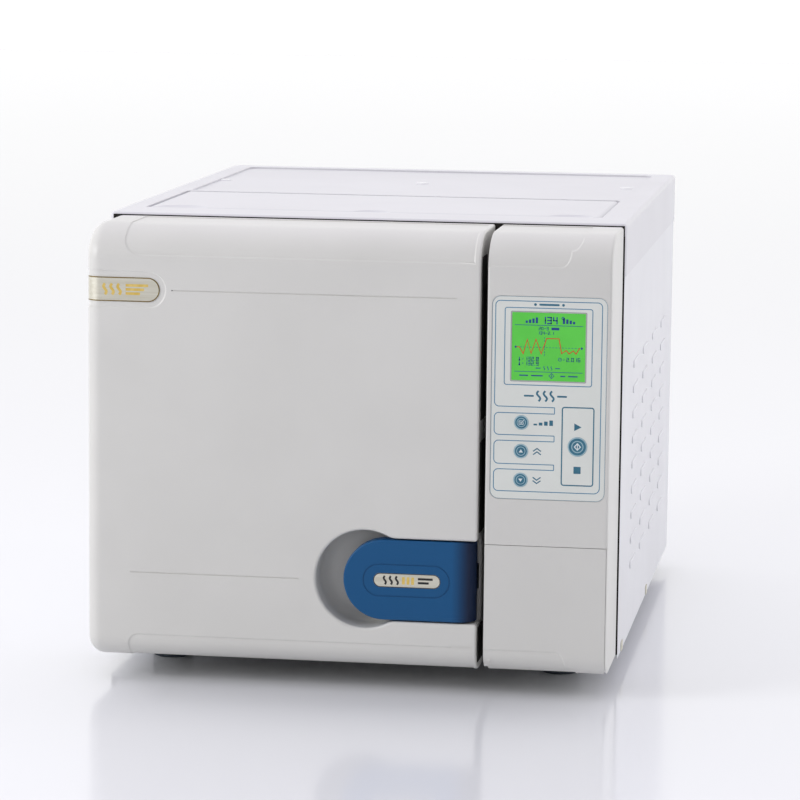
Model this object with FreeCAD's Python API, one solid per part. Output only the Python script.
import FreeCAD, Part
import math
import os

# Benchtop steam autoclave, millimetres. +Z up, front faces -Y, +X to the user's right.
# Origin: centre of the footprint, on the surface that the feet stand on.

os.makedirs("parts", exist_ok=True)
V = FreeCAD.Vector
X, Y, Z = V(1, 0, 0), V(0, 1, 0), V(0, 0, 1)

# Overall size
WIDTH = 480.0
DEPTH = 682.0
HEIGHT = 420.0
FRONT = -DEPTH / 2
REAR = DEPTH / 2
SHEET = 1.5
WALL = 3.0

# Front casings: the door on the left and the control column on the right
CASING_DEPTH = 98.0
CASING_BACK = FRONT + CASING_DEPTH
CASING_BOTTOM = 21.0
CASING_TOP = 417.5
CASING_HALF = 237.5
TOP_CURVE = (40.0, 30.0)
BOTTOM_CURVE = (30.0, 20.0)
DOOR_RIGHT = 120.5
DOOR_EDGE_R = 13.0
COLUMN_LEFT = 127.0
FIELD_STEP = 0.7
BADGE_HALF = 10.8
BADGE_RIGHT = -169.4
BADGE_Z = 360.0
DOOR_GROOVES = (((-158.4, 99.8), 360.0), ((-196.2, -41.0), 102.3))

# Cabinet behind the casings
BODY_FRONT = CASING_BACK + 5.0
BODY_BOTTOM = 18.0
SEAM = 372.0
REAR_INSET = 22.0
REAR_FACE = REAR - REAR_INSET
FRAME_Y = BODY_FRONT + SHEET
FRAME_T = 2.0
FLOOR_TOP = BODY_BOTTOM + SHEET

# Pressure chamber
CHAMBER_X = (DOOR_RIGHT - CASING_HALF) / 2
CHAMBER_Z = 195.0
CHAMBER_R = 125.0
VESSEL_R = 128.0
FLANGE_R = 150.0
FLANGE_FRONT = -246.0
JACKET_R = 146.0
BAND_R = 131.0
VESSEL_END = 215.0

# Door hinge
HINGE_X = -226.0
HINGE_Y = -256.5
HINGE_PIN_R = 4.0
RUN = 0.05
HINGE_LEVELS = (75.0, 315.0)
EYE_HEIGHT = 20.0

# Handle
HANDLE_Z = 104.0
HANDLE_HALF = 36.5
HANDLE_LEFT = -0.4
PIVOT_X = 104.0
PIVOT_Y = -326.0
BARREL_R = 15.0
PIVOT_PIN_R = 4.0
BOWL_X = 19.0
BOWL_R = 44.7
SLOT_HALF = 37.8
BOWL_DEPTH = 36.0
BOWL_RIM = 2.5
PLATE_X = (27.0, 88.0)
PLATE_HALF = 6.5
GROOVE_X = (17.4, 96.6)
GROOVE_HALF = 15.0

# Tanks and their lid
LID_X = (-218.0, 211.0)
LID_Y = (-180.0, 2.0)
LID_GAP = 1.0
LID_PIVOT = (-4.0, 414.0)
LID_PIN_R = 2.5
TANK_Z = (352.0, 404.0)

# Control panel
PANEL_X = (131.0, 234.0)
PANEL_Z = (181.8, 364.0)
PANEL_RECESS = 1.2
LCD_X = (149.0, 214.5)
LCD_Z = (288.8, 349.5)
KEYS = {"key_select": (158.6, 251.1, 6.5),
        "key_up": (158.6, 225.4, 6.5),
        "key_down": (158.6, 199.5, 6.5),
        "key_start": (208.9, 230.8, 8.7)}

# Service compartment and its flap
FLAP_TOP = 139.7
FLAP_X = (127.3, 236.2)
FLAP_GAP = 0.5
FLAP_PIVOT = (-318.0, 31.0)
FLAP_PIN_R = 2.5
FLAP_END = -313.0
BAY_BACK = -285.0
BAY_X = (COLUMN_LEFT + WALL, CASING_HALF - WALL)

DRAINS = {"drain_knob_clean": (188.0, 62.0), "drain_knob_used": (217.0, 62.0)}
SWITCH_X = (190.0, 218.0)
SWITCH_Z = (98.0, 114.0)

# Door lock: axis of the bolt (y, z), its radius and the hole that it enters in the door
LOCK = (-300.0, 240.0)
BOLT_R = 3.0
BOLT_HOLE_R = 5.5

# Side sheets, their pressed louvre hoods and their lower clips
HOOD = 1.2
HOOD_HALF = (27.0, 3.5)
SIDE = WIDTH / 2 - HOOD
SIDE_INNER = SIDE - SHEET
LOUVRE_Y = (-99.0, 5.0, 115.0, 219.0)
LOUVRE_TOP = 277.0
LOUVRE_PITCH = 24.1
LOUVRE_ROWS = 9
TAB_Y = (-198.0, 72.0)
TAB_SIZE = (16.0, 9.0)

# Feet
FOOT_X = 184.0
FOOT_Y = (-216.0, 280.0)
FOOT_R = 19.0

# Top cover: screw caps, posts above the tank flanges and finger scoops of the lid
CAPS = ((-212.0, 160.0), (-8.0, 170.0), (203.0, 166.0))
TANK_POSTS = ((-225.0, -186.5), (-225.0, -26.0), (218.0, -186.5), (218.0, -26.0), (-3.0, -186.5))
SCOOPS = ((-211.0, -160.0), (-23.0, 14.0), (161.0, 204.0))
SCOOP_DEPTH = 4.0

# Tray rack
RACK_HALF = 92.0
RACK_FLOOR = 121.0
RACK_Y = (-212.0, 170.0)
RACK_T = 1.2
LEVELS = (135.0, 180.0, 225.0)

# Rear fittings
INLET = (176.0, 62.0)
FUSE_X = (206.0, 224.0)
PORT_RISE = 60.0

# Fan
FAN_X = -62.0
FAN_Z = 118.0
FAN_R = 52.0


def box(x, y, z):
    """Block from three (low, high) pairs."""
    return Part.makeBox(x[1] - x[0], y[1] - y[0], z[1] - z[0], V(x[0], y[0], z[0]))


def rod(radius, start, axis, length):
    """Solid cylinder."""
    return Part.makeCylinder(radius, length, V(*start), axis)


def ring(outer, inner, start, axis, length):
    """Hollow cylinder."""
    return rod(outer, start, axis, length).cut(rod(inner, start, axis, length))


def edges_where(shape, test):
    """Edges whose mid-point and direction pass a test."""
    found = []
    for edge in shape.Edges:
        first, last = edge.ParameterRange
        middle = edge.valueAt((first + last) / 2)
        tangent = edge.tangentAt((first + last) / 2)
        if test(middle, tangent):
            found.append(edge)
    return found


def round_edges(shape, radius, test):
    return shape.makeFillet(radius, edges_where(shape, test))


def along(axis):
    """Test for edges that run along an axis."""
    return lambda middle, tangent: abs(tangent.dot(axis)) > 0.999


def rounded_box(x, y, z, radius, axis):
    """Block with the four edges along one axis rounded."""
    return round_edges(box(x, y, z), radius, along(axis))


def fuse(first, *others):
    return first.fuse(list(others)).removeSplitter()


def cut(first, *others):
    return first.cut(list(others))


def save(name, shape):
    shape.exportStep(os.path.join("parts", name + ".step"))


def quarter(start, corner, end):
    """Quarter of an ellipse from start to end, tangent to the lines that meet at corner."""
    k = 0.5523
    curve = Part.BezierCurve()
    curve.setPoles([start, start + (corner - start) * k, end + (corner - end) * k, end])
    return curve.toShape()


def casing_profile(grow, x):
    """Side outline of the front casings: flat front, curved top and bottom, flat back."""
    front = FRONT - grow
    back = CASING_BACK + (grow if grow > 0 else 0)
    low, high = CASING_BOTTOM - grow, CASING_TOP + grow
    top = (TOP_CURVE[0] + grow, TOP_CURVE[1] + grow)
    bottom = (BOTTOM_CURVE[0] + grow, BOTTOM_CURVE[1] + grow)
    a, b = V(x, back, low), V(x, front + bottom[0], low)
    c, d = V(x, front, low + bottom[1]), V(x, front, high - top[1])
    e, f = V(x, front + top[0], high), V(x, back, high)
    edges = [Part.makeLine(a, b),
             quarter(b, V(x, front, low), c),
             Part.makeLine(c, d),
             quarter(d, V(x, front, high), e),
             Part.makeLine(e, f),
             Part.makeLine(f, a)]
    return Part.Face(Part.Wire(edges))


def casing_block(x, grow=0.0):
    """Solid block with the casing profile, extruded between two x values."""
    return casing_profile(grow, x[0]).extrude(V(x[1] - x[0], 0, 0))


def end_edges(shape, x):
    """Edges of the end face at x, without the one at the back."""
    def test(middle, tangent):
        return abs(middle.x - x) < 1e-4 and middle.y < CASING_BACK - 1
    return edges_where(shape, test)


def handle_outline(grow, depth):
    """Round bowl running into a slot that leaves at the door's right edge."""
    y = FRONT - 5
    length = depth + 5
    circle = rod(BOWL_R + grow, (BOWL_X, y, HANDLE_Z), Y, length)
    half = SLOT_HALF + grow
    slot = box((BOWL_X, DOOR_RIGHT + 5), (y, y + length), (HANDLE_Z - half, HANDLE_Z + half))
    shape = fuse(circle, slot)
    join_x = BOWL_X + math.sqrt((BOWL_R + grow) ** 2 - half ** 2)

    def concave(middle, tangent):
        return abs(tangent.y) > 0.999 and abs(middle.x - join_x) < 1
    shape = round_edges(shape, 16.0, concave)

    def floor(middle, tangent):
        return abs(middle.y - (y + length)) < 1e-4 and middle.x < DOOR_RIGHT + 4
    return round_edges(shape, 12.0, floor)


def door_block(depth):
    """Solid inside the door's outer surface, offset inwards by a depth."""
    x = (-CASING_HALF + depth, DOOR_RIGHT - depth)
    block = casing_block(x, -depth)
    return block.makeFillet(DOOR_EDGE_R - depth, end_edges(block, x[0]))


def outline_prism(points, radius):
    """Front-view outline, its rounded corners given by index, cut through the casing front."""
    wire = Part.makePolygon([V(px, FRONT - 2, pz) for px, pz in points + points[:1]])
    prism = Part.Face(wire).extrude(V(0, CASING_DEPTH - 4, 0))
    corner = points[0]

    def at_corner(middle, tangent):
        return abs(tangent.y) > 0.999 and math.hypot(middle.x - corner[0], middle.z - corner[1]) < 1
    return round_edges(prism, radius, at_corner)


def door_bands():
    """Shallow fields along the top and the bottom of the door."""
    top = outline_prism([(-203.0, 390.5), (116.0, 390.5), (116.0, 430.0), (-203.0, 430.0)], 16.0)
    low = outline_prism([(-199.0, 45.7), (-199.0, 10.0), (117.3, 10.0), (117.3, 45.7)], 10.0)
    return [top, low]


def badge_prism(grow):
    """Badge outline in front view: open at the door's left edge, round at the right."""
    half = BADGE_HALF + grow
    right = BADGE_RIGHT + grow
    bar = box((-CASING_HALF - 5, right - half), (FRONT - 2, FRONT + 30), (BADGE_Z - half, BADGE_Z + half))
    return fuse(bar, rod(half, (right - half, FRONT - 2, BADGE_Z), Y, 32.0))


def door_badge():
    """Thin metal plate that follows the door's rounded edge."""
    skin = door_block(0.1).cut(door_block(1.5))
    return skin.common(badge_prism(0.0))


def door_cover():
    """Moulded outer shell of the door, open at the back, with the handle bowl."""
    skin = door_block(0.0).cut(door_block(FIELD_STEP))
    deep_skin = door_block(0.0).cut(door_block(1.5))
    outer = door_block(0.0)
    outer = outer.makeFillet(2.0, end_edges(outer, DOOR_RIGHT))
    outer = outer.cut(handle_outline(0.0, BOWL_DEPTH))

    def bowl_rim(middle, tangent):
        return abs(middle.y - FRONT) < 1e-4 and math.hypot(middle.x - BOWL_X, middle.z - HANDLE_Z) < 95
    outer = round_edges(outer, BOWL_RIM, bowl_rim)
    cavity = door_block(WALL).cut(handle_outline(WALL, BOWL_DEPTH + WALL))
    shell = outer.cut(cavity)
    for field in door_bands() + [badge_prism(6.3)]:
        shell = shell.cut(skin.common(field))
    shell = shell.cut(deep_skin.common(badge_prism(0.15)))
    for x, z in DOOR_GROOVES:
        shell = shell.cut(box(x, (FRONT - 1, FRONT + 0.6), (z - 0.5, z + 0.5)))
    shell = max(shell.Solids, key=lambda solid: solid.Volume)
    lever_way = box((54.0, 118.0), (FRONT + 20, FRONT + 45), (HANDLE_Z - 12, HANDLE_Z + 12))
    pin_way = rod(PIVOT_PIN_R, (PIVOT_X, PIVOT_Y, 50), Z, 110)
    bolt_way = rod(BOLT_HOLE_R, (DOOR_RIGHT - 6, *LOCK), X, 10)
    notches = [box((-240.0, -232.0), (HINGE_Y - 9, CASING_BACK + 1), (z - 21, z + 21))
               for z in HINGE_LEVELS]
    return cut(shell, lever_way, pin_way, bolt_way, *notches)


def door_liner():
    """Inner face of the door with its round hole and the slots for hinges and striker."""
    plate = box((-234.4, 117.4), (CASING_BACK - WALL, CASING_BACK), (24.2, 414.3))
    corners = edges_where(plate, lambda m, t: abs(t.y) > 0.999 and m.x < -234)
    plate = plate.makeFillet(DOOR_EDGE_R - WALL + 0.2, corners)
    hole = rod(157.0, (CHAMBER_X, CASING_BACK - 5, CHAMBER_Z), Y, 10)
    striker_way = box((102.5, 118.0), (CASING_BACK - 5, CASING_BACK + 1),
                      (HANDLE_Z - 12, HANDLE_Z + 12))
    hinges = [box((-236.0, -211.0), (CASING_BACK - 5, CASING_BACK + 1), (z - 24, z + 24))
              for z in HINGE_LEVELS]
    return cut(plate, hole, striker_way, *hinges)


def door_beam():
    """Steel frame between the door's side walls: knuckles, cross beam and handle bracket."""
    hinge_plate = box((-219.0, -204.0), (-276.0, -264.0), (51.0, 339.0))
    cross = box((-204.0, 84.0), (-290.0, -270.0), (180.0, 210.0))
    corner = box((84.0, 114.0), (-300.0, -270.0), (180.0, 210.0))
    back = box((44.0, 114.0), (-300.0, -296.0), (56.0, 210.0))
    ears = [box((95.0, 113.0), (-332.0, -300.0), z) for z in ((148.0, 153.0), (56.0, 60.0))]
    flanges = [box((-CASING_HALF + WALL + 0.1, -219.0), (-276.0, -270.0), (150.0, 240.0)),
               box((114.0, DOOR_RIGHT - WALL - 0.1), (-300.0, -296.0), (156.0, 200.0))]
    beam = fuse(hinge_plate, cross, corner, back, *ears, *flanges)
    for z in HINGE_LEVELS:
        for low in (z + EYE_HEIGHT / 2 + 0.3, z - EYE_HEIGHT / 2 - 12.3):
            knuckle = rod(7.0, (HINGE_X, HINGE_Y, low), Z, 12.0)
            web = box((HINGE_X, -210.0), (-270.0, -261.0), (low, low + 12.0))
            beam = fuse(beam, knuckle, web)
    window = box((55.0, 108.0), (-301.0, -295.0), (HANDLE_Z - 14, HANDLE_Z + 14))
    pins = [rod(HINGE_PIN_R + RUN, (HINGE_X, HINGE_Y, 40), Z, 310),
            rod(PIVOT_PIN_R, (PIVOT_X, PIVOT_Y, 50), Z, 110),
            rod(10.0, (CHAMBER_X, -300, CHAMBER_Z), Y, 40)]
    return cut(beam, window, *pins)


def pressure_plate():
    """Thick disc that closes the chamber, with a seat for the gasket and a raised centre."""
    disc = rod(143.0, (CHAMBER_X, -262, CHAMBER_Z), Y, 13.0)
    disc = round_edges(disc, 3.0, lambda middle, tangent: middle.y < -261.9)
    dish = rod(112.0, (CHAMBER_X, -253, CHAMBER_Z), Y, 10.0)
    seat = ring(136.2, 126.8, (CHAMBER_X, -253, CHAMBER_Z), Y, 10.0)
    return cut(disc, dish, seat)


def door_gasket():
    """Silicone ring with a rounded lip that meets the chamber flange."""
    body = ring(136.2, 126.8, (CHAMBER_X, -253, CHAMBER_Z), Y, 6.7)
    return round_edges(body, 2.0, lambda middle, tangent: middle.y > -246.4)


def plate_spindle():
    """Threaded stud that carries the plate on the cross beam, with its nut and washers."""
    stud = rod(10.0, (CHAMBER_X, -306, CHAMBER_Z), Y, 44.0)
    nut = Part.Face(Part.makePolygon(hexagon(17.0))).extrude(V(0, 12, 0))
    nut.translate(V(CHAMBER_X, -303, CHAMBER_Z))
    washer = rod(16.0, (CHAMBER_X, -291, CHAMBER_Z), Y, 1.0)
    return fuse(stud, nut, washer)


def hexagon(radius):
    """Closed hexagon in a plane across Y."""
    points = [V(radius * math.cos(i * math.pi / 3), 0, radius * math.sin(i * math.pi / 3))
              for i in range(7)]
    return points


def hinge_brackets():
    """Two steel hinge arms bolted to the front frame."""
    arms = []
    for z in HINGE_LEVELS:
        low, high = z - EYE_HEIGHT / 2, z + EYE_HEIGHT / 2
        foot = box((-227.5, -212.0), (FRAME_Y - 3.0, FRAME_Y), (z - 19, z + 19))
        arm = box((-227.5, -220.0), (HINGE_Y, FRAME_Y), (low, high))
        eye = rod(6.5, (HINGE_X, HINGE_Y, low), Z, EYE_HEIGHT)
        bore = rod(HINGE_PIN_R, (HINGE_X, HINGE_Y, low - 5), Z, EYE_HEIGHT + 10)
        arms.append(cut(fuse(foot, arm, eye), bore))
    return Part.Compound(arms)


def hinge_pins():
    """Pins through the door's knuckles and the hinge eyes."""
    pins = [rod(HINGE_PIN_R, (HINGE_X, HINGE_Y, z - EYE_HEIGHT / 2 - 13), Z, EYE_HEIGHT + 26)
            for z in HINGE_LEVELS]
    return Part.Compound(pins)


def handle_grip():
    """Moulded grip: round left end, flat face and a barrel around the pivot."""
    z = (HANDLE_Z - HANDLE_HALF, HANDLE_Z + HANDLE_HALF)
    left = rod(HANDLE_HALF, (HANDLE_LEFT + HANDLE_HALF, FRONT, HANDLE_Z), Y, 15.0)
    slab = box((HANDLE_LEFT + HANDLE_HALF, PIVOT_X), (FRONT, FRONT + 15.0), z)
    barrel = rod(BARREL_R, (PIVOT_X, PIVOT_Y, z[0]), Z, z[1] - z[0])
    grip = fuse(left, slab, barrel)

    def rim(middle, tangent):
        return abs(middle.y - FRONT) < 1e-4 and abs(middle.x - PIVOT_X) > 1
    grip = round_edges(grip, 1.6, rim)
    pin_way = rod(PIVOT_PIN_R + 0.4, (PIVOT_X, PIVOT_Y, 50), Z, 110)
    hub_way = rod(9.3, (PIVOT_X, PIVOT_Y, HANDLE_Z - 11), Z, 22)
    lever_way = box((44.0, PIVOT_X), (PIVOT_Y - 3.0, PIVOT_Y + 1), (HANDLE_Z - 11, HANDLE_Z + 11))
    arm_way = box((PIVOT_X - 9.3, PIVOT_X + 2), (PIVOT_Y, -308), (HANDLE_Z - 11, HANDLE_Z + 11))
    badge_seat = oval(PLATE_X, PLATE_HALF, (-1.0, 1.2))
    groove = oval(GROOVE_X, GROOVE_HALF, (-1.0, 0.5))
    island = oval((GROOVE_X[0] + 1.1, GROOVE_X[1] - 1.1), GROOVE_HALF - 1.1, (-1.0, 0.5))
    return cut(grip, pin_way, hub_way, lever_way, arm_way, badge_seat, groove.cut(island))


def oval(x, half, depth):
    """Stadium-shaped block around the grip's middle, between two depths behind its face."""
    return rounded_box(x, (FRONT + depth[0], FRONT + depth[1]),
                       (HANDLE_Z - half, HANDLE_Z + half), half - 0.05, Y)


def handle_badge():
    """Slim oval plate set into the grip."""
    return oval(PLATE_X, PLATE_HALF, (0.1, 1.2))


def handle_lever():
    """Steel lever screwed into the grip, with the pivot hub and the latch hook."""
    z = (HANDLE_Z - 10, HANDLE_Z + 10)
    hub = rod(9.0, (PIVOT_X, PIVOT_Y, z[0]), Z, 20)
    plate = box((45.0, PIVOT_X), (PIVOT_Y - 3.0, PIVOT_Y), z)
    arm = box((96.5, 103.5), (PIVOT_Y, -280.0), (HANDLE_Z - 8, HANDLE_Z + 8))
    hook = box((96.5, 105.3), (-286.0, -280.0), (HANDLE_Z - 8, HANDLE_Z + 8))
    bore = rod(PIVOT_PIN_R + RUN, (PIVOT_X, PIVOT_Y, 50), Z, 110)
    return cut(fuse(hub, plate, arm, hook), bore)


def handle_pin():
    """Pin through the door's bracket and the lever's hub."""
    return rod(PIVOT_PIN_R, (PIVOT_X, PIVOT_Y, 56.0), Z, 97.0)


def latch_striker():
    """Steel post on the front frame; its head is what the latch hook holds."""
    foot = box((110.0, 126.0), (FRAME_Y - 3.0, FRAME_Y), (HANDLE_Z - 20, HANDLE_Z + 20))
    post = box((110.0, 113.5), (-292.0, FRAME_Y), (HANDLE_Z - 8, HANDLE_Z + 8))
    head = box((106.0, 110.0), (-292.0, -288.0), (HANDLE_Z - 8, HANDLE_Z + 8))
    return fuse(foot, post, head)


def lock_solenoid():
    """Coil housing of the door lock, fixed inside the control column."""
    y, z = LOCK
    body = rounded_box((COLUMN_LEFT + WALL, 160.0), (y - 12, y + 12), (z - 12, z + 12), 3.0, X)
    return body.cut(rod(BOLT_R + RUN, (120, y, z), X, 36))


def lock_bolt():
    """Round bolt that shoots into the door's edge."""
    return rod(BOLT_R, (COLUMN_LEFT + 0.6, *LOCK), X, 27.0)


def control_casing():
    """Moulded shell of the control column with the panel recess and the service bay."""
    x = (COLUMN_LEFT, CASING_HALF)
    outer = casing_block(x)
    outer = outer.makeFillet(2.5, end_edges(outer, x[1]))
    outer = outer.makeFillet(2.0, end_edges(outer, x[0]))
    inner = casing_block((x[0] + WALL, x[1] - WALL), -WALL)
    bay_shell = box((x[0] + 1, x[1] - 1), (FRONT, BAY_BACK + WALL), (0.0, FLAP_TOP + WALL + 0.5))
    bay = box(BAY_X, (FRONT - 1, BAY_BACK), (CASING_BOTTOM - 1, FLAP_TOP + 0.5))
    shell = outer.cut(inner.cut(bay_shell)).cut(bay.cut(sill()))
    flap_space = box((x[0] - 1, FLAP_X[1] + 0.3), (FRONT - 1, FRONT + WALL + 0.6),
                     (CASING_BOTTOM - 1, FLAP_TOP + FLAP_GAP))
    low_space = box((x[0] - 1, FLAP_X[1] + 0.3), (FRONT - 1, -305.5), (CASING_BOTTOM - 1, 43.0))
    inside = casing_block(x, -WALL - FLAP_GAP)
    keeps = [box(side, (-326.0, -305.5), (26.0, 40.0)).common(inside)
             for side in ((x[0], BAY_X[0]), (BAY_X[1], x[1]))]
    shell = shell.cut(flap_space).cut(low_space.cut(keeps))
    shell = shell.cut(column_skin().common(column_band(389.0, 430.0)))
    recess = rounded_box(PANEL_X, (FRONT - 1, FRONT + PANEL_RECESS), PANEL_Z, 8.0, Y)
    window = box(LCD_X, (FRONT - 1, FRONT + 5), LCD_Z)
    key_holes = [rod(r + 0.4, (kx, FRONT - 1, kz), Y, 6) for kx, kz, r in KEYS.values()]
    pins = rod(FLAP_PIN_R + RUN, (x[0] + 1, *FLAP_PIVOT), X, x[1] - x[0] - 2)
    bolt_way = rod(BOLT_R + 0.4, (x[0] - 1, *LOCK), X, 5)
    ways = [rod(8.2, (kx, BAY_BACK - 1, kz), Y, 6) for kx, kz in DRAINS.values()]
    switch_way = box(SWITCH_X, (BAY_BACK - 1, BAY_BACK + 4), SWITCH_Z)
    return cut(shell, recess, window, pins, bolt_way, switch_way, *key_holes, *ways)


def column_skin():
    """Outer layer of the column, as deep as its shallow fields."""
    x = (COLUMN_LEFT, CASING_HALF)
    return casing_block(x).cut(casing_block(x, -FIELD_STEP))


def column_band(near, far):
    """Shallow field at one end of the column, with an S-curve on its right."""
    y = FRONT - 2
    step = 18.0 if far > near else -18.0
    start, rise = V(192.0, y, near), V(210.6, y, near + step * 1.6)
    middle = (start + rise) / 2
    edges = [Part.makeLine(V(COLUMN_LEFT - 1, y, near), start),
             quarter(start, V(middle.x, y, near), middle),
             quarter(middle, V(rise.x, y, middle.z), rise),
             Part.makeLine(rise, V(210.6, y, far)),
             Part.makeLine(V(210.6, y, far), V(COLUMN_LEFT - 1, y, far)),
             Part.makeLine(V(COLUMN_LEFT - 1, y, far), V(COLUMN_LEFT - 1, y, near))]
    return Part.Face(Part.Wire(edges)).extrude(V(0, CASING_DEPTH - 4, 0))


def sill():
    """Floor of the service bay behind the flap's lower edge."""
    return box((COLUMN_LEFT, CASING_HALF), (-305.5, BAY_BACK), (CASING_BOTTOM, CASING_BOTTOM + WALL))


def service_flap():
    """Drop-down cover of the service bay, following the casing profile."""
    outer = casing_block(FLAP_X)
    inner = casing_block((FLAP_X[0] - 1, FLAP_X[1] + 1), -WALL)
    shell = outer.cut(inner)
    shell = shell.common(box(FLAP_X, (FRONT, FLAP_END), (CASING_BOTTOM, FLAP_TOP)))
    shell = max(shell.Solids, key=lambda solid: solid.Volume)
    flap = shell.cut(column_skin().common(column_band(45.0, 10.0)))
    for x in ((COLUMN_LEFT, BAY_X[0] + 0.4), (BAY_X[1] - 0.4, CASING_HALF)):
        flap = flap.cut(box(x, (-331.0, -300.0), (CASING_BOTTOM - 1, 45.0)))
    for x in ((BAY_X[0] + 0.4, BAY_X[0] + 3.4), (BAY_X[1] - 3.4, BAY_X[1] - 0.4)):
        ear = rod(8.5, (x[0], *FLAP_PIVOT), X, 3.0)
        reach = box(x, (FRONT + 2, FLAP_PIVOT[0]), (28.0, 39.5))
        flap = fuse(flap, ear.common(casing_block(FLAP_X)), reach.common(casing_block(FLAP_X)))
    for x in ((COLUMN_LEFT + 1.2, BAY_X[0] + 1), (BAY_X[1] - 1, CASING_HALF - 1.2)):
        flap = fuse(flap, rod(FLAP_PIN_R, (x[0], *FLAP_PIVOT), X, x[1] - x[0]))
    return flap


def membrane_panel():
    """Printed foil over the recess, with holes for the window and keys."""
    foil = rounded_box((PANEL_X[0] + 0.3, PANEL_X[1] - 0.3),
                       (FRONT + PANEL_RECESS - 0.8, FRONT + PANEL_RECESS),
                       (PANEL_Z[0] + 0.3, PANEL_Z[1] - 0.3), 7.7, Y)
    window = box(LCD_X, (FRONT - 1, FRONT + 5), LCD_Z)
    holes = [rod(r + 0.1, (kx, FRONT - 1, kz), Y, 6) for kx, kz, r in KEYS.values()]
    return cut(foil, window, *holes)


def lcd_module():
    """Display glass that fills the window, on its frame behind the casing."""
    glass = box((LCD_X[0] + 0.1, LCD_X[1] - 0.1), (FRONT + 0.7, FRONT + WALL),
                (LCD_Z[0] + 0.1, LCD_Z[1] - 0.1))
    body = box((LCD_X[0] - 6, LCD_X[1] + 6), (FRONT + WALL, FRONT + 11), (LCD_Z[0] - 5, LCD_Z[1] + 5))
    return fuse(glass, body)


def key(name):
    """Round key that travels 0.8 mm into the panel."""
    x, z, radius = KEYS[name]
    cap = rod(radius, (x, FRONT + 0.1, z), Y, 5.0)
    return round_edges(cap, 0.5, lambda middle, tangent: middle.y < FRONT + 0.2)


def control_board():
    """Circuit board on four posts, with a switch behind each key."""
    board = box((132.0, 232.0), (-325.0, -323.4), (184.0, 362.0))
    chips = [box((x, x + 14), (-323.4, -320.4), (z, z + 14))
             for x in (150.0, 190.0) for z in (215.0, 265.0, 310.0)]
    switches = [rod(3.0, (kx, -331.5, kz), Y, 6.5) for kx, kz, _ in KEYS.values()]
    posts = [rod(2.5, (x, FRONT + WALL, z), Y, 14.0) for x in (136.0, 228.0) for z in (188.0, 358.0)]
    return fuse(board, *chips, *switches, *posts)


def air_filter():
    """Bacteriological filter capsule with its hose nipple."""
    capsule = rod(17.0, (154.0, -308.0, 62.0), Z, 34.0)
    capsule = round_edges(capsule, 4.0, lambda middle, tangent: True)
    neck = rod(5.0, (154.0, -308.0, 92.0), Z, 12.0)
    stem = rod(5.0, (154.0, -308.0, 79.0), Y, 23.0)
    return fuse(capsule, neck, stem)


def drain_valves():
    """Two quarter-turn valves whose spindles come through the bay wall."""
    valves = []
    for x, z in DRAINS.values():
        spindle = rod(3.0, (x, -307.0, z), Y, 22.0)
        body = rod(8.0, (x, BAY_BACK, z), Y, 24.0)
        barb = rod(4.0, (x, -267.0, z), Z, 26.0)
        collar = rod(9.5, (x, BAY_BACK - 2.0, z), Y, 2.0)
        valves.append(fuse(spindle, body, barb, collar))
    return Part.Compound(valves)


def drain_knob(name):
    """Round knob with a grip bar, on the valve spindle."""
    x, z = DRAINS[name]
    disc = rod(11.0, (x, -296.0, z), Y, 7.0)
    bar = rounded_box((x - 3.2, x + 3.2), (-309.0, -296.0), (z - 10, z + 10), 3.0, Y)
    bore = rod(3.0 + RUN, (x, -307.0 - RUN, z), Y, 30.0)
    return cut(fuse(disc, bar), bore)


def switch_housing():
    """Housing of the power switch with its bezel."""
    shell = box(SWITCH_X, (BAY_BACK - 2.0, BAY_BACK + 20.0), SWITCH_Z)
    bezel = box((SWITCH_X[0] - 2, SWITCH_X[1] + 2), (BAY_BACK - 2.0, BAY_BACK),
                (SWITCH_Z[0] - 2, SWITCH_Z[1] + 2))
    pocket = box((SWITCH_X[0] + 2, SWITCH_X[1] - 2), (BAY_BACK - 3.0, BAY_BACK + 12.0),
                 (SWITCH_Z[0] + 2, SWITCH_Z[1] - 2))
    return cut(fuse(shell, bezel), pocket)


def power_rocker():
    """Rocker that tips about a cross axis."""
    x_mid = (SWITCH_X[0] + SWITCH_X[1]) / 2
    z = (SWITCH_Z[0] + 2.4, SWITCH_Z[1] - 2.4)
    profile = [V(x_mid - 9.8, -287.5, z[0]), V(x_mid, -285.5, z[0]), V(x_mid + 9.8, -289.5, z[0]),
               V(x_mid + 8, -277.0, z[0]), V(x_mid - 8, -277.0, z[0]), V(x_mid - 9.8, -287.5, z[0])]
    return Part.Face(Part.makePolygon(profile)).extrude(V(0, 0, z[1] - z[0]))


def base_pan():
    """Folded floor of the cabinet."""
    x = (-SIDE_INNER, SIDE_INNER)
    y = (FRAME_Y, REAR_FACE - SHEET)
    floor = box(x, y, (BODY_BOTTOM, FLOOR_TOP))
    sides = [box(s, y, (FLOOR_TOP, 45.0)) for s in ((x[0], x[0] + SHEET), (x[1] - SHEET, x[1]))]
    return fuse(floor, *sides)


def feet():
    """Four rubber feet with a chamfered lower rim."""
    solids = []
    for x in (-FOOT_X, FOOT_X):
        for y in FOOT_Y:
            foot = rod(FOOT_R, (x, y, 0), Z, BODY_BOTTOM)
            foot = round_edges(foot, 2.5, lambda middle, tangent: middle.z < 1)
            solids.append(foot)
    return Part.Compound(solids)


def span(a, b):
    """Pair of values in rising order."""
    return min(a, b), max(a, b)


def louvre_hood(side):
    """Soft pressed-out hood over one slot, centred on y = 0 and z = 0."""
    half_y, half_z = HOOD_HALF
    hood = rounded_box(span(side * (SIDE - 0.5), side * WIDTH / 2), (-half_y, half_y),
                       (-half_z, half_z), half_z - 0.1, X)
    return round_edges(hood, 0.7, lambda middle, tangent: abs(middle.x) > WIDTH / 2 - 0.01)


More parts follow.
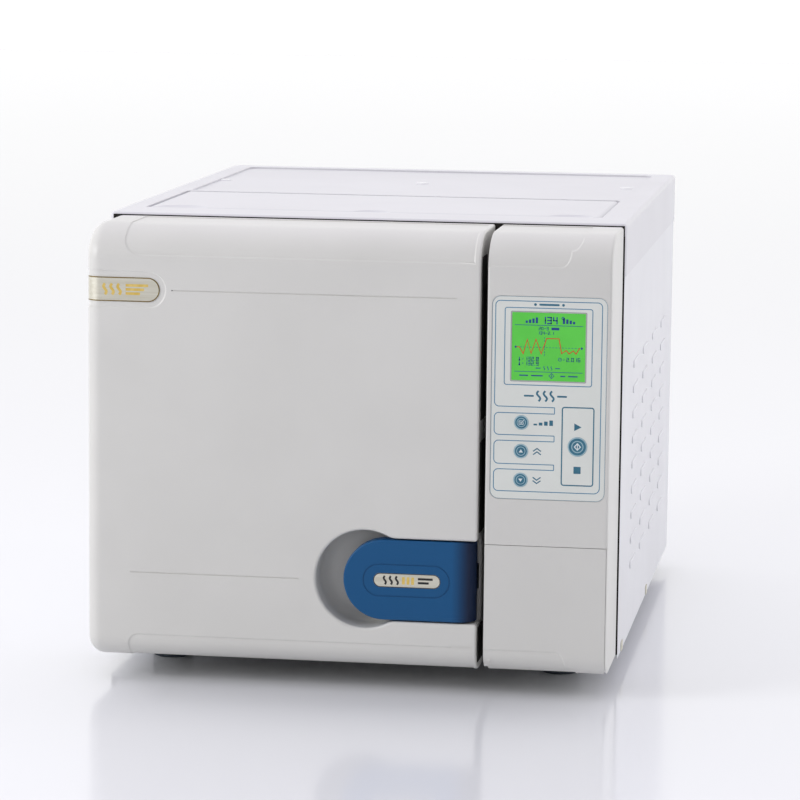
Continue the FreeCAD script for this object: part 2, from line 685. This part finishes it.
def side_panel(side):
    """Painted side sheet with folded front edge, rows of louvres and clip notches."""
    sheet = box(span(side * SIDE, side * SIDE_INNER), (BODY_FRONT, REAR), (BODY_BOTTOM, SEAM - 0.5))
    fold = box(span(side * SIDE_INNER, side * (SIDE - 10)), (BODY_FRONT, FRAME_Y),
               (FLOOR_TOP, SEAM - 0.5))
    half_y, half_z = HOOD_HALF
    hood = louvre_hood(side)
    hoods = []
    tools = [box(span(side * (SIDE_INNER - 1), side * (SIDE + 1)),
                 (y - TAB_SIZE[0] / 2, y + TAB_SIZE[0] / 2),
                 (BODY_BOTTOM - 1, BODY_BOTTOM + TAB_SIZE[1])) for y in TAB_Y]
    for y in LOUVRE_Y:
        for row in range(LOUVRE_ROWS):
            z = LOUVRE_TOP - row * LOUVRE_PITCH
            hoods.append(hood.translated(V(0, y, z)))
            tools.append(box(span(side * (SIDE_INNER - 0.1), side * (SIDE + 0.4)),
                             (y - half_y + 5, y + half_y - 5), (z - half_z - 0.1, z - 1.0)))
    return cut(fuse(sheet, fold, *hoods), *tools)


def panel_tabs():
    """Moulded clips that hold the lower edge of the side sheets."""
    half = TAB_SIZE[0] / 2 - 0.3
    clips = [rounded_box(span(side * SIDE_INNER, side * (SIDE + 0.8)), (y - half, y + half),
                         (BODY_BOTTOM, BODY_BOTTOM + TAB_SIZE[1] - 0.4), 1.5, X)
             for side in (-1, 1) for y in TAB_Y]
    return Part.Compound(clips)


def rear_panel():
    """Recessed back sheet with the fan grille and openings for the rear fittings."""
    sheet = box((-SIDE_INNER, SIDE_INNER), (REAR_FACE - SHEET, REAR_FACE),
                (BODY_BOTTOM, SEAM - 0.5))
    tools = [box((INLET[0] - 15, INLET[0] + 15), (REAR_FACE - 3, REAR_FACE + 1),
                 (INLET[1] - 12, INLET[1] + 12))]
    tools += [rod(6.5, (x, REAR_FACE - 3, INLET[1]), Y, 5) for x in FUSE_X]
    tools.append(rod(9.5, (CHAMBER_X, REAR_FACE - 3, CHAMBER_Z + PORT_RISE), Y, 5))
    for radius in (16.0, 25.0, 34.0, 43.0):
        for quadrant in range(4):
            tools.append(grille_slot(radius, quadrant))
    return cut(sheet, *tools)


def grille_slot(radius, quadrant):
    """Curved slot of the fan grille, about 76 degrees long."""
    slot = ring(radius + 5.0, radius, (FAN_X, REAR_FACE - 3, FAN_Z), Y, 5)
    keep = box((FAN_X + 4, FAN_X + 80), (REAR_FACE - 4, REAR_FACE + 3), (FAN_Z + 4, FAN_Z + 80))
    keep.rotate(V(FAN_X, 0, FAN_Z), Y, 90 * quadrant)
    return slot.common(keep)


def front_frame():
    """Steel bulkhead that carries the chamber mouth, the hinges and the striker."""
    half = SIDE_INNER - SHEET
    plate = box((-half, half), (FRAME_Y, FRAME_Y + FRAME_T),
                (FLOOR_TOP, SEAM - 0.5))
    hole = rod(VESSEL_R + 0.2, (CHAMBER_X, FRAME_Y - 1, CHAMBER_Z), Y, 5)
    cable_way = box((150.0, 215.0), (FRAME_Y - 1, FRAME_Y + 5), (60.0, 130.0))
    return cut(plate, hole, cable_way)


def top_cover():
    """Moulded lid of the cabinet: raised rim, shallow field and the tank opening."""
    outer = box((-WIDTH / 2, WIDTH / 2), (BODY_FRONT, REAR), (SEAM, HEIGHT))
    outer = round_edges(outer, 6.0, along(Z))
    outer = round_edges(outer, 4.0, lambda middle, tangent: middle.z > HEIGHT - 0.01)
    inner = rounded_box((-WIDTH / 2 + WALL, WIDTH / 2 - WALL), (BODY_FRONT + WALL, REAR - WALL),
                        (SEAM - 1, HEIGHT - 4.5), 3.0, Z)
    cover = outer.cut(inner)
    field = rounded_box((-217.0, 217.0), (12.0, 318.0), (HEIGHT - 1.5, HEIGHT + 1), 8.0, Z)
    opening = rounded_box((LID_X[0] - LID_GAP, LID_X[1] + LID_GAP), (LID_Y[0] - LID_GAP, 5.0),
                          (HEIGHT - 10, HEIGHT + 1), 4.0, Z)
    cap_seats = [rod(6.3, (x, y, HEIGHT - 2.7), Z, 5) for x, y in CAPS]
    cover = cut(cover, field, opening, *cap_seats)
    for x in ((-226.0, LID_X[0] - LID_GAP), (LID_X[1] + LID_GAP, 219.0)):
        bracket = box(x, (LID_PIVOT[0] - 6, LID_PIVOT[0] + 6), (LID_PIVOT[1] - 7, HEIGHT - 4.5))
        bore = rod(LID_PIN_R + RUN, (x[0] - 1, *LID_PIVOT), X, 10)
        cover = fuse(cover, bracket).cut(bore)
    for x, y in TANK_POSTS:
        cover = fuse(cover, rod(4.0, (x, y, TANK_Z[1] + 3), Z, HEIGHT - 4.5 - TANK_Z[1] - 3))
    return cover


def cover_caps():
    """Press-in caps over the cover's screws."""
    caps = [rod(6.25, (x, y, HEIGHT - 2.7), Z, 2.0) for x, y in CAPS]
    return Part.Compound([round_edges(cap, 0.6, lambda m, t: m.z > HEIGHT - 1) for cap in caps])


def tank_lid():
    """Hinged tank cover with three finger scoops along its front edge."""
    slab = box(LID_X, LID_Y, (409.0, HEIGHT))
    slab = round_edges(slab, 3.0, along(Z))
    rear_edge = edges_where(slab, lambda m, t: m.z > HEIGHT - 0.01 and m.y > LID_Y[1] - 0.1)
    slab = slab.makeFillet(5.0, rear_edge)
    hollow = box((LID_X[0] + 2.5, LID_X[1] - 2.5), (LID_Y[0] + 2.5, LID_Y[1] - 2.5),
                 (408.0, HEIGHT - 6.0))
    lid = slab.cut(hollow)
    for low, high in SCOOPS:
        half = (high - low) / 2
        lift = (half ** 2 - SCOOP_DEPTH ** 2) / (2 * SCOOP_DEPTH)
        dish = Part.makeSphere(lift + SCOOP_DEPTH, V((low + high) / 2, LID_Y[0] + 1, HEIGHT + lift))
        lid = lid.cut(dish)
    for x in (LID_X[0] - 6.0, LID_X[1] - 1.0):
        lid = fuse(lid, rod(LID_PIN_R, (x, *LID_PIVOT), X, 7.0))
    return lid


def tank(x, flange_x):
    """Open moulded tank that hangs from the cover by its flange."""
    y = (-178.0, -12.0)
    outer = rounded_box(x, y, TANK_Z, 6.0, Z)
    flange = box(flange_x, (-191.0, -12.0), (TANK_Z[1], TANK_Z[1] + 3.0))
    inner = rounded_box((x[0] + WALL, x[1] - WALL), (y[0] + WALL, y[1] - WALL),
                        (TANK_Z[0] + WALL, TANK_Z[1] + 5), 4.0, Z)
    return fuse(outer, flange).cut(inner)


def chamber_vessel():
    """Deep-drawn stainless chamber, closed at the back."""
    shell = rod(VESSEL_R, (CHAMBER_X, FRAME_Y, CHAMBER_Z), Y, VESSEL_END - FRAME_Y)
    shell = round_edges(shell, 30.0, lambda m, t: m.y > VESSEL_END - 1)
    inner = rod(CHAMBER_R, (CHAMBER_X, FRAME_Y - 1, CHAMBER_Z), Y, VESSEL_END - WALL - FRAME_Y + 1)
    inner = round_edges(inner, 27.0, lambda m, t: m.y > VESSEL_END - WALL - 1)
    port = rod(7.0, (CHAMBER_X, VESSEL_END - 10, CHAMBER_Z + PORT_RISE), Y, 22)
    return fuse(shell, port).cut(inner)


def chamber_flange():
    """Machined mouth ring that the gasket seals on."""
    body = ring(FLANGE_R, CHAMBER_R, (CHAMBER_X, FLANGE_FRONT, CHAMBER_Z), Y,
                FRAME_Y - FLANGE_FRONT)
    return round_edges(body, 1.5, lambda m, t: m.y < FLANGE_FRONT + 0.1)


def heater_band():
    """Wrapped silicone heater around the vessel."""
    return ring(BAND_R, VESSEL_R, (CHAMBER_X, -120, CHAMBER_Z), Y, 240)


def insulation_jacket():
    """Insulation wrapped over the heater."""
    start = FRAME_Y + FRAME_T
    return ring(JACKET_R, BAND_R, (CHAMBER_X, start, CHAMBER_Z), Y, VESSEL_END - 32 - start)


def chamber_saddles():
    """Two cradles between the floor and the jacketed chamber."""
    saddles = []
    hollow = rod(JACKET_R, (CHAMBER_X, -300, CHAMBER_Z), Y, 600)
    for y in (-180.0, 140.0):
        block = box((CHAMBER_X - 70, CHAMBER_X + 70), (y, y + 20), (FLOOR_TOP, 80.0))
        saddles.append(block.cut(hollow))
    return Part.Compound(saddles)


def tray_rack():
    """Bent stainless rack with three pairs of rails; its sides stand on the chamber wall."""
    floor = box((CHAMBER_X - RACK_HALF, CHAMBER_X + RACK_HALF), RACK_Y,
                (RACK_FLOOR, RACK_FLOOR + RACK_T))
    foot_z = CHAMBER_Z - math.sqrt(CHAMBER_R ** 2 - RACK_HALF ** 2) + 0.05
    parts = []
    for side in (-1, 1):
        outer = CHAMBER_X + side * RACK_HALF
        inner = CHAMBER_X + side * (RACK_HALF - RACK_T)
        rail = CHAMBER_X + side * (RACK_HALF - 9.0)
        parts.append(box(span(outer, inner), RACK_Y, (foot_z, LEVELS[-1] + 37.0)))
        for level in LEVELS:
            parts.append(box(span(outer, rail), RACK_Y, (level - RACK_T, level)))
    rack = fuse(floor, *parts)
    windows = [box((CHAMBER_X - 110, CHAMBER_X + 110), (y, y + 70), (level + 6, level + 34))
               for level in LEVELS[:2] for y in (-190.0, -100.0, -10.0, 80.0)]
    return cut(rack, *windows)


def instrument_trays():
    """Three perforated trays that slide on the rack's rails."""
    trays = []
    half = RACK_HALF - 3.0
    for level in LEVELS:
        tray = box((CHAMBER_X - half, CHAMBER_X + half), (RACK_Y[0] + 2, RACK_Y[1] - 2),
                   (level, level + 15))
        hollow = box((CHAMBER_X - half + 1, CHAMBER_X + half - 1), (RACK_Y[0] + 3, RACK_Y[1] - 3),
                     (level + 1, level + 16))
        slots = [box((x, x + 22), (y, y + 6), (level - 1, level + 2))
                 for x in (CHAMBER_X - 74, CHAMBER_X - 36, CHAMBER_X + 14, CHAMBER_X + 52)
                 for y in range(-190, 150, 34)]
        trays.append(cut(tray, hollow, *slots))
    return Part.Compound(trays)


def steam_generator():
    """Boiler with its heating element on top."""
    body = rod(42.0, (170.0, -120.0, FLOOR_TOP), Z, 200.0)
    body = round_edges(body, 12.0, lambda m, t: m.z > 200)
    element = rod(14.0, (170.0, -120.0, 215.0), Z, 24.0)
    return fuse(body, element)


def vacuum_pump():
    """Motor and pump head on a foot."""
    motor = rod(40.0, (165.0, 70.0, 80.0), Y, 110.0)
    head = rounded_box((125.0, 205.0), (180.0, 225.0), (40.0, 130.0), 8.0, Y)
    foot = box((140.0, 190.0), (85.0, 215.0), (FLOOR_TOP, 50.0))
    return fuse(motor, head, foot)


def solenoid_valves():
    """Three valves in a row on a sheet stand."""
    valves = []
    for y in (-20.0, 20.0, 60.0):
        base = box((128.0, 158.0), (y - 13, y + 13), (225.0, 243.0))
        coil = rounded_box((131.0, 155.0), (y - 11, y + 11), (243.0, 275.0), 3.0, Z)
        valves.append(fuse(base, coil))
    rail = box((128.0, 158.0), (-40.0, 80.0), (222.0, 225.0))
    stand = box((128.0, 130.0), (-40.0, 66.0), (FLOOR_TOP, 222.0))
    return fuse(*valves, rail, stand)


def power_supply():
    """Boxed supply on a bracket at the right side sheet."""
    case = box((130.0, 228.0), (120.0, 260.0), (160.0, 215.0))
    bracket = box((228.0, SIDE_INNER), (130.0, 250.0), (165.0, 210.0))
    return fuse(case, bracket)


def condenser():
    """Finned coil in front of the fan."""
    fins = [box((x, x + 1.0), (258.0, 286.0), (62.0, 174.0)) for x in range(-116, -6, 6)]
    tubes = [rod(4.0, (-120.0, 272.0, z), X, 116.0) for z in range(72, 170, 24)]
    ends = [box((x, x + 2.0), (254.0, 290.0), (58.0, 178.0)) for x in (-122.0, -4.0)]
    foot = box((-122.0, -2.0), (256.0, 288.0), (FLOOR_TOP, 58.0))
    return fuse(ends[0], ends[1], foot, *fins, *tubes)


def fan_shroud():
    """Square frame with a round throat, three struts and the motor seat."""
    y = (REAR_FACE - SHEET - 25.0, REAR_FACE - SHEET)
    frame = rounded_box((FAN_X - 58, FAN_X + 58), y, (FAN_Z - 58, FAN_Z + 58), 5.0, Y)
    frame = frame.cut(rod(FAN_R + 2, (FAN_X, y[0] - 1, FAN_Z), Y, 27))
    seat = rod(17.0, (FAN_X, y[0], FAN_Z), Y, 3.0)
    for turn in (90, 210, 330):
        strut = box((FAN_X + 10, FAN_X + FAN_R + 4), (y[0], y[0] + 3), (FAN_Z - 3, FAN_Z + 3))
        strut.rotate(V(FAN_X, 0, FAN_Z), Y, turn)
        seat = seat.fuse(strut)
    return fuse(frame, seat).cut(rod(2.0 + RUN, (FAN_X, y[0] - 1, FAN_Z), Y, 10))


def fan_rotor():
    """Hub with seven pitched blades and a short shaft."""
    start = REAR_FACE - SHEET - 21.5
    hub = rod(17.0, (FAN_X, start, FAN_Z), Y, 17.0)
    rotor = fuse(hub, rod(2.0, (FAN_X, start - 3.3, FAN_Z), Y, 4.0))
    for i in range(7):
        blade = box((FAN_X + 15, FAN_X + FAN_R - 1), (start + 7.5, start + 9.5),
                    (FAN_Z - 11, FAN_Z + 11))
        blade.rotate(V(FAN_X, start + 8.5, FAN_Z), X, 32)
        blade.rotate(V(FAN_X, 0, FAN_Z), Y, 360.0 / 7 * i)
        rotor = rotor.fuse(blade)
    return rotor.removeSplitter()


def safety_valve():
    """Brass relief valve on the chamber's rear port, with its pull ring stem."""
    x, z = CHAMBER_X, CHAMBER_Z + PORT_RISE
    body = rod(9.0, (x, VESSEL_END + 12, z), Y, 106.0)
    cap = rod(12.0, (x, REAR_FACE + 0.5, z), Y, 14.0)
    stem = rod(3.0, (x, REAR_FACE + 14, z), Y, 7.5)
    return fuse(body, cap, stem)


def power_inlet():
    """Appliance inlet with its flange and three flat pins."""
    flange = rounded_box((INLET[0] - 21, INLET[0] + 21), (REAR_FACE, REAR_FACE + 3),
                         (INLET[1] - 15, INLET[1] + 15), 3.0, Y)
    shell = box((INLET[0] - 15, INLET[0] + 15), (REAR_FACE - 22, REAR_FACE + 3),
                (INLET[1] - 12, INLET[1] + 12))
    socket = rounded_box((INLET[0] - 12, INLET[0] + 12), (REAR_FACE - 17, REAR_FACE + 5),
                         (INLET[1] - 8.5, INLET[1] + 8.5), 3.0, Y)
    inlet = fuse(flange, shell).cut(socket)
    pins = [box((INLET[0] + dx - 1, INLET[0] + dx + 1), (REAR_FACE - 18, REAR_FACE - 2),
                (INLET[1] + dz - 2, INLET[1] + dz + 2)) for dx, dz in ((-7, 2), (0, -3), (7, 2))]
    return fuse(inlet, *pins)


def fuse_holders():
    """Two screw-in fuse holders with a coin slot."""
    holders = []
    for x in FUSE_X:
        barrel = rod(6.5, (x, REAR_FACE - 24, INLET[1]), Y, 24)
        cap = rod(8.0, (x, REAR_FACE, INLET[1]), Y, 9)
        slot = box((x - 6, x + 6), (REAR_FACE + 7.5, REAR_FACE + 10), (INLET[1] - 1, INLET[1] + 1))
        holders.append(fuse(barrel, cap).cut(slot))
    return Part.Compound(holders)


ROOT_PARTS = {
    "base_pan": base_pan, "feet": feet, "panel_tabs": panel_tabs, "rear_panel": rear_panel,
    "front_frame": front_frame, "top_cover": top_cover, "cover_caps": cover_caps,
    "chamber_vessel": chamber_vessel, "chamber_flange": chamber_flange,
    "heater_band": heater_band, "insulation_jacket": insulation_jacket,
    "chamber_saddles": chamber_saddles, "tray_rack": tray_rack,
    "instrument_trays": instrument_trays, "steam_generator": steam_generator,
    "vacuum_pump": vacuum_pump, "solenoid_valves": solenoid_valves,
    "power_supply": power_supply, "condenser": condenser, "fan_shroud": fan_shroud,
    "safety_valve": safety_valve, "power_inlet": power_inlet, "fuse_holders": fuse_holders,
    "control_casing": control_casing, "membrane_panel": membrane_panel,
    "lcd_module": lcd_module, "control_board": control_board, "air_filter": air_filter,
    "drain_valves": drain_valves, "switch_housing": switch_housing,
    "hinge_brackets": hinge_brackets, "hinge_pins": hinge_pins,
    "latch_striker": latch_striker, "lock_solenoid": lock_solenoid,
}
MOVING_PARTS = {
    "door_cover": door_cover, "door_liner": door_liner, "door_beam": door_beam,
    "pressure_plate": pressure_plate, "door_gasket": door_gasket,
    "door_badge": door_badge, "plate_spindle": plate_spindle,
    "handle_pin": handle_pin, "handle_grip": handle_grip,
    "handle_lever": handle_lever, "handle_badge": handle_badge, "lock_bolt": lock_bolt,
    "service_flap": service_flap, "power_rocker": power_rocker, "tank_lid": tank_lid,
    "fan_rotor": fan_rotor,
}

for name, make in {**ROOT_PARTS, **MOVING_PARTS}.items():
    save(name, make())
for name in KEYS:
    save(name, key(name))
for name in DRAINS:
    save(name, drain_knob(name))
save("left_side_panel", side_panel(-1))
save("right_side_panel", side_panel(1))
save("clean_water_tank", tank((-212.0, -9.0), (-229.0, -1.0)))
save("used_water_tank", tank((0.0, 206.0), (-0.5, 222.0)))
